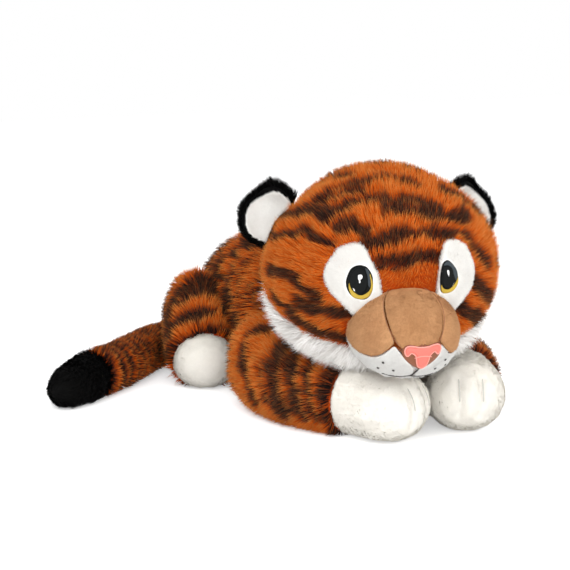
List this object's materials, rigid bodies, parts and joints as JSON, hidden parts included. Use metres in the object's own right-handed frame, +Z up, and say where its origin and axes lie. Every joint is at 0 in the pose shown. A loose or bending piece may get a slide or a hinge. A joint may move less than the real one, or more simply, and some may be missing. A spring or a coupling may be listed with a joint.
{
  "type": "plush tiger",
  "caption": "Soft stuffed tiger lying on its belly, with striped long-pile fur, a big head resting on its white paws, round ears and a black-tipped tail.",
  "frame": {"origin": "middle of the bounding box at the height of the table that the tiger lies on", "axes": "-Y is the way the body faces, -X is the tiger's right side, which its tail lies on, and +Z is up"},
  "size_m": [0.4378, 0.5146, 0.255],
  "materials": {
    "ear_back_left": "long pile fur",
    "ear_back_right": "long pile fur",
    "ear_lining_left": "short plush",
    "ear_lining_right": "short plush",
    "eye_glint_left": "stitched thread",
    "eye_glint_right": "stitched thread",
    "eye_iris_left": "stitched thread",
    "eye_iris_right": "stitched thread",
    "eye_outline_left": "stitched thread",
    "eye_outline_right": "stitched thread",
    "eye_patch_left": "short plush",
    "eye_patch_right": "short plush",
    "eye_pupil_left": "stitched thread",
    "eye_pupil_right": "stitched thread",
    "front_leg_filling_left": "loose fibre",
    "front_leg_filling_right": "loose fibre",
    "front_leg_skin_left": "long pile fur",
    "front_leg_skin_right": "long pile fur",
    "front_paw_skin_left": "short plush",
    "front_paw_skin_right": "short plush",
    "head_filling": "loose fibre",
    "head_skin": "long pile fur",
    "hind_leg_filling_left": "loose fibre",
    "hind_leg_filling_right": "loose fibre",
    "hind_leg_skin_left": "long pile fur",
    "hind_leg_skin_right": "long pile fur",
    "hind_paw_skin_left": "short plush",
    "hind_paw_skin_right": "short plush",
    "jaw_skin": "long pile fur",
    "lip_line": "stitched thread",
    "mouth_line": "stitched thread",
    "muzzle_bridge": "short plush",
    "muzzle_cheek_left": "short plush",
    "muzzle_cheek_right": "short plush",
    "muzzle_filling": "loose fibre",
    "muzzle_lobe_left": "short plush",
    "muzzle_lobe_right": "short plush",
    "neck_filling": "loose fibre",
    "nose": "stitched thread",
    "nostril_left": "stitched thread",
    "nostril_right": "stitched thread",
    "tail_filling": "loose fibre",
    "tail_skin": "long pile fur",
    "tail_tip": "long pile fur",
    "toe_stitch_left_1": "stitched thread",
    "toe_stitch_left_2": "stitched thread",
    "toe_stitch_right_1": "stitched thread",
    "toe_stitch_right_2": "stitched thread",
    "torso_filling": "loose fibre",
    "torso_skin": "long pile fur",
    "whisker_dot_left_1": "stitched thread",
    "whisker_dot_left_2": "stitched thread",
    "whisker_dot_left_3": "stitched thread",
    "whisker_dot_right_1": "stitched thread",
    "whisker_dot_right_2": "stitched thread",
    "whisker_dot_right_3": "stitched thread"
  },
  "bodies": {
    "torso": {"torso_filling": "torso_filling", "torso_skin": "torso_skin"},
    "neck": {"neck_filling": "neck_filling"},
    "ear_left": {"ear_back_left": "ear_back_left", "ear_lining_left": "ear_lining_left"},
    "front_leg_left": {"front_leg_filling_left": "front_leg_filling_left", "front_leg_skin_left": "front_leg_skin_left", "front_paw_skin_left": "front_paw_skin_left", "toe_stitch_left_1": "toe_stitch_left_1", "toe_stitch_left_2": "toe_stitch_left_2"},
    "hind_leg_left": {"hind_leg_filling_left": "hind_leg_filling_left", "hind_leg_skin_left": "hind_leg_skin_left", "hind_paw_skin_left": "hind_paw_skin_left"},
    "ear_right": {"ear_back_right": "ear_back_right", "ear_lining_right": "ear_lining_right"},
    "front_leg_right": {"front_leg_filling_right": "front_leg_filling_right", "front_leg_skin_right": "front_leg_skin_right", "front_paw_skin_right": "front_paw_skin_right", "toe_stitch_right_1": "toe_stitch_right_1", "toe_stitch_right_2": "toe_stitch_right_2"},
    "hind_leg_right": {"hind_leg_filling_right": "hind_leg_filling_right", "hind_leg_skin_right": "hind_leg_skin_right", "hind_paw_skin_right": "hind_paw_skin_right"},
    "tail": {"tail_filling": "tail_filling", "tail_skin": "tail_skin", "tail_tip": "tail_tip"},
    "head": {"eye_glint_left": "eye_glint_left", "eye_glint_right": "eye_glint_right", "eye_iris_left": "eye_iris_left", "eye_iris_right": "eye_iris_right", "eye_outline_left": "eye_outline_left", "eye_outline_right": "eye_outline_right", "eye_patch_left": "eye_patch_left", "eye_patch_right": "eye_patch_right", "eye_pupil_left": "eye_pupil_left", "eye_pupil_right": "eye_pupil_right", "head_filling": "head_filling", "head_skin": "head_skin", "jaw_skin": "jaw_skin", "lip_line": "lip_line", "mouth_line": "mouth_line", "muzzle_bridge": "muzzle_bridge", "muzzle_cheek_left": "muzzle_cheek_left", "muzzle_cheek_right": "muzzle_cheek_right", "muzzle_filling": "muzzle_filling", "muzzle_lobe_left": "muzzle_lobe_left", "muzzle_lobe_right": "muzzle_lobe_right", "nose": "nose", "nostril_left": "nostril_left", "nostril_right": "nostril_right", "whisker_dot_left_1": "whisker_dot_left_1", "whisker_dot_left_2": "whisker_dot_left_2", "whisker_dot_left_3": "whisker_dot_left_3", "whisker_dot_right_1": "whisker_dot_right_1", "whisker_dot_right_2": "whisker_dot_right_2", "whisker_dot_right_3": "whisker_dot_right_3"}
  },
  "joints": [
    {"name": "head_turn", "type": "hinge", "parent": "torso", "child": "neck", "pos_m": [0.07159, -0.04065, 0.085], "axis": [0, 0, 1], "range_deg": [-12, 12], "stiffness_Nm_per_rad": 0.5},
    {"name": "head_nod", "type": "hinge", "parent": "neck", "child": "head", "pos_m": [0.07159, -0.04065, 0.085], "axis": [-0.9636, 0.2672, 0], "range_deg": [0, 8], "stiffness_Nm_per_rad": 0.5},
    {"name": "ear_fold_left", "type": "hinge", "parent": "head", "child": "ear_left", "pos_m": [0.15257, -0.10505, 0.19361], "axis": [-0.436, 0.1209, 0.8918], "range_deg": [-15, 15], "stiffness_Nm_per_rad": 0.03},
    {"name": "ear_fold_right", "type": "hinge", "parent": "head", "child": "ear_right", "pos_m": [-0.03098, -0.05414, 0.19361], "axis": [0.436, -0.1209, 0.8918], "range_deg": [-15, 15], "stiffness_Nm_per_rad": 0.03},
    {"name": "front_leg_spread_left", "type": "hinge", "parent": "torso", "child": "front_leg_left", "pos_m": [0.15759, 0.02635, 0.048], "axis": [0, 0, 1], "range_deg": [0, 22], "stiffness_Nm_per_rad": 0.3},
    {"name": "front_leg_spread_right", "type": "hinge", "parent": "torso", "child": "front_leg_right", "pos_m": [-0.01441, 0.02635, 0.048], "axis": [0, 0, -1], "range_deg": [0, 22], "stiffness_Nm_per_rad": 0.3},
    {"name": "hind_leg_lift_left", "type": "hinge", "parent": "torso", "child": "hind_leg_left", "pos_m": [0.15209, 0.14435, 0.058], "axis": [-1, 0, 0], "range_deg": [0, 35], "stiffness_Nm_per_rad": 0.2},
    {"name": "hind_leg_lift_right", "type": "hinge", "parent": "torso", "child": "hind_leg_right", "pos_m": [-0.00891, 0.14435, 0.058], "axis": [-1, 0, 0], "range_deg": [0, 35], "stiffness_Nm_per_rad": 0.2},
    {"name": "tail_swing", "type": "hinge", "parent": "torso", "child": "tail", "pos_m": [0.07159, 0.23134, 0.0225], "axis": [0, 0, -1], "range_deg": [0, 45], "stiffness_Nm_per_rad": 0.12}
  ]
}
